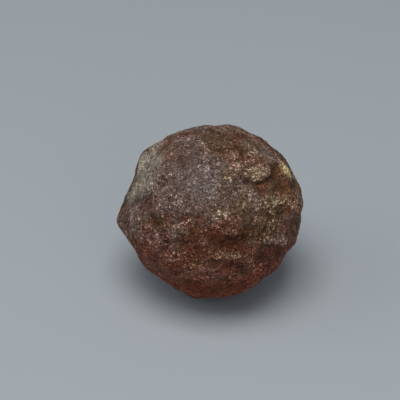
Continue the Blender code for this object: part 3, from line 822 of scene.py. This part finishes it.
def make_grains(name, shape, settings, density, smallest, largest, seed):
    """Many grains in one mesh, each turned and stretched its own way and sunk into the crust."""
    piece = copy_of(bpy.data.objects[CRUST], name)
    bpy.ops.object.modifier_add(type="NODES")
    modifier = piece.modifiers[-1]
    modifier.node_group = grain_spread(shape, settings, density, smallest, largest, seed)
    bpy.ops.object.modifier_apply(modifier=modifier.name)
    bpy.data.objects.remove(shape)
    return piece


def finish_piece(piece, material):
    """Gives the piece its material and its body."""
    piece.data.materials.clear()
    piece.data.materials.append(material)
    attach(piece, BODY)


def colour_property(name, description, default):
    return FloatVectorProperty(
        name=name, description=description, default=default, subtype="COLOR", size=3, min=0, max=1
    )


def length_property(name, description, default):
    return FloatProperty(name=name, description=description, default=default, unit="LENGTH", precision=5)


def density_property(name, description, default):
    return FloatProperty(name=name, description=description, default=default, min=0)


def power_property(name, description, default):
    return FloatProperty(name=name, description=description, default=default, unit="POWER", min=0)


class MoquiColours(bpy.types.PropertyGroup):
    """Colours of the crust and its grains."""

    crust: colour_property("Crust", "Dark chocolate brown of most of the crust", (0.083, 0.045, 0.023))
    tan: colour_property("Tan", "Paler brown in clouds", (0.150, 0.095, 0.068))
    mauve: colour_property("Mauve", "Greyish red brown on the left of the front", (0.116, 0.078, 0.069))
    # Lilac is a painted sheen: the grey-lilac reflection of the sky, high up and on the front.
    lilac_sheen: colour_property("Lilac", "Grey-lilac bloom, high and on the front", (0.131, 0.097, 0.089))
    # Pale is partly the pale face's own grey and partly a painted reflection of the sky on it.
    pale: colour_property("Pale", "Greenish grey of the pale face", (0.375, 0.325, 0.255))
    cream: colour_property("Cream", "Sandy brown of the knob and the ledge", (0.155, 0.108, 0.066))
    moss: colour_property("Moss", "Greenish brown, mostly on the right of the front", (0.099, 0.064, 0.030))
    brown: colour_property("Brown", "Warm brown of the shelf and the right edge", (0.136, 0.062, 0.024))
    # Red is partly rust and partly painted warm bounce light low on the front.
    red: colour_property("Red", "Rusty brown, mostly low on the front", (0.228, 0.050, 0.021))
    maroon: colour_property("Maroon", "Deep red brown of blotches and hollows", (0.088, 0.023, 0.012))
    # Dark is painted shade in hollows, creases and under overhangs.
    dark_shade: colour_property("Dark", "Dark brown of the deepest hollows", (0.069, 0.027, 0.011))
    ochre: colour_property("Ochre", "Yellow stain on the right rim", (0.42, 0.34, 0.15))
    grain: colour_property("Grain", "Tan of stained sand grains", (0.38, 0.32, 0.26))
    quartz: colour_property("Quartz", "Cream of clean quartz grains", (0.80, 0.68, 0.53))


class MoquiCrust(bpy.types.PropertyGroup):
    """Sizes of the crust's relief."""

    cuts: IntProperty(name="Cuts", description="New points along each edge of the solid", default=3, min=0)
    lump_height: length_property("Lump height", "Rise of the lumps", 0.90 * MM)
    crag_height: length_property("Crag height", "Rise of the crags", 0.45 * MM)
    sand_height: length_property("Sand height", "Rise of the sandy roughness", 0.22 * MM)
    speck: length_property("Speck", "Size of the grains that are only drawn on the crust", 0.34 * MM)


class MoquiGrains(bpy.types.PropertyGroup):
    """The grains of sand and quartz that are set in the crust."""

    sand_density: density_property("Sand density", "Grains of sand to a square metre, at most", 6.5e6)
    sand_smallest: length_property("Sand smallest", "Radius of the smallest grain of sand", 0.06 * MM)
    sand_largest: length_property("Sand largest", "Radius of the largest grain of sand", 0.14 * MM)
    quartz_density: density_property("Quartz density", "Grains of quartz to a square metre, at most", 2.4e6)
    quartz_smallest: length_property("Quartz smallest", "Radius of the smallest grain of quartz", 0.10 * MM)
    quartz_largest: length_property("Quartz largest", "Radius of the largest grain of quartz", 0.23 * MM)
    sunk: FloatProperty(
        name="Sunk",
        description="Share of its radius by which a grain's middle is sunk",
        default=0.35,
        subtype="FACTOR",
        min=0,
        max=1,
    )
    seed: IntProperty(name="Seed", description="Which arrangement of grains", default=7)


class MoquiStage(bpy.types.PropertyGroup):
    """Colour of the floor, and strength of the lights."""

    floor: colour_property("Floor", "Pale cool grey", (0.312, 0.344, 0.370))
    key_power: power_property("Key", "Main soft light, from above", 7.0)
    fill_power: power_property("Fill", "Soft light from the camera's side", 2.2)
    side_power: power_property("Side", "Soft light from the left", 1.9)
    sky: FloatProperty(name="Sky", description="Strength of the even light from all round", default=0.22)


class MOQUI_OT_crust(bpy.types.Operator):
    """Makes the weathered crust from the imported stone"""

    bl_idname = "moqui.crust"
    bl_label = "Crust"

    def execute(self, context):
        piece = make_crust(context.scene.moqui_crust)
        finish_piece(piece, crust_material(context.scene.moqui_colours, context.scene.moqui_crust.speck))
        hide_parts(NODE)
        return {"FINISHED"}


class MOQUI_OT_grains(bpy.types.Operator):
    """Sets grains of sand and quartz in the crust"""

    bl_idname = "moqui.grains"
    bl_label = "Grains"

    def execute(self, context):
        settings = context.scene.moqui_grains
        material = grain_material(context.scene.moqui_colours)
        quartz_seed = settings.seed + QUARTZ_SEED_SHIFT
        sand = (settings.sand_density, settings.sand_smallest, settings.sand_largest, settings.seed)
        quartz = (settings.quartz_density, settings.quartz_smallest, settings.quartz_largest, quartz_seed)
        finish_piece(make_grains("sand_grains", make_sand_grain(), settings, *sand), material)
        finish_piece(make_grains("quartz_grains", make_quartz_grain(), settings, *quartz), material)
        return {"FINISHED"}


def add_soft_light(name, power, azimuth, elevation, distance, size, colour):
    """A square soft light that faces the stone from this direction, in degrees, 0 being the front."""
    turn = math.radians(azimuth)
    rise = math.radians(elevation)
    away = Vector((math.sin(turn) * math.cos(rise), -math.cos(turn) * math.cos(rise), math.sin(rise)))
    bpy.ops.object.light_add(type="AREA", location=MIDDLE + distance * away)
    lamp = bpy.context.object
    lamp.name = name
    lamp.rotation_euler = away.to_track_quat("Z", "Y").to_euler()
    lamp.data.size = size
    lamp.data.energy = power
    lamp.data.color = colour


def add_camera():
    """The camera, aimed so that the stone lies in the frame where the photograph has it."""
    bpy.ops.object.camera_add(location=EYE)
    camera = bpy.context.object
    camera.rotation_euler = TOWARD.to_track_quat("Z", "Y").to_euler()
    camera.data.lens = camera.data.sensor_width * VIEW_DISTANCE / FRAME_WIDTH
    camera.data.clip_start = NEAREST_SEEN
    bpy.context.scene.camera = camera


class MOQUI_OT_stage(bpy.types.Operator):
    """Sets the floor, the soft lights and the camera"""

    bl_idname = "moqui.stage"
    bl_label = "Stage"

    def execute(self, context):
        settings = context.scene.moqui_stage
        bpy.ops.mesh.primitive_plane_add(size=FLOOR_SIZE)
        floor = bpy.context.object
        floor.name = "floor"
        floor.data.materials.append(floor_material(settings.floor))
        for name, light in LIGHTS.items():
            add_soft_light(name, getattr(settings, f"{name}_power"), *light)
        world = bpy.data.worlds.new("sky")
        world.use_nodes = True
        background = world.node_tree.nodes["Background"]
        background.inputs["Color"].default_value = (*SKY_COLOUR, 1.0)
        background.inputs["Strength"].default_value = settings.sky
        context.scene.world = world
        context.scene.view_settings.view_transform = "Standard"
        add_camera()
        return {"FINISHED"}


class MOQUI_PT_panel(bpy.types.Panel):
    """Lists what makes the pieces and the stage, with their settings"""

    bl_label = "Moqui Marble"
    bl_idname = "MOQUI_PT_panel"
    bl_space_type = "VIEW_3D"
    bl_region_type = "UI"
    bl_category = "Moqui Marble"

    def draw(self, context):
        for name, group in GROUPS.items():
            box = self.layout.box()
            if name in OPERATORS:
                box.operator(OPERATORS[name])
            for setting in group.__annotations__:
                box.prop(getattr(context.scene, name), setting)


GROUPS = {
    "moqui_colours": MoquiColours,
    "moqui_crust": MoquiCrust,
    "moqui_grains": MoquiGrains,
    "moqui_stage": MoquiStage,
}
OPERATORS = {"moqui_crust": "moqui.crust", "moqui_grains": "moqui.grains", "moqui_stage": "moqui.stage"}
CLASSES = (*GROUPS.values(), MOQUI_OT_crust, MOQUI_OT_grains, MOQUI_OT_stage, MOQUI_PT_panel)


def register():
    for cls in CLASSES:
        bpy.utils.register_class(cls)
    for name, group in GROUPS.items():
        setattr(bpy.types.Scene, name, PointerProperty(type=group))


def unregister():
    for name in GROUPS:
        delattr(bpy.types.Scene, name)
    for cls in reversed(CLASSES):
        bpy.utils.unregister_class(cls)


def main():
    """Makes the pieces and the stage."""
    register()
    bpy.ops.moqui.crust()
    bpy.ops.moqui.grains()
    bpy.ops.moqui.stage()


if __name__ == "__main__":
    main()
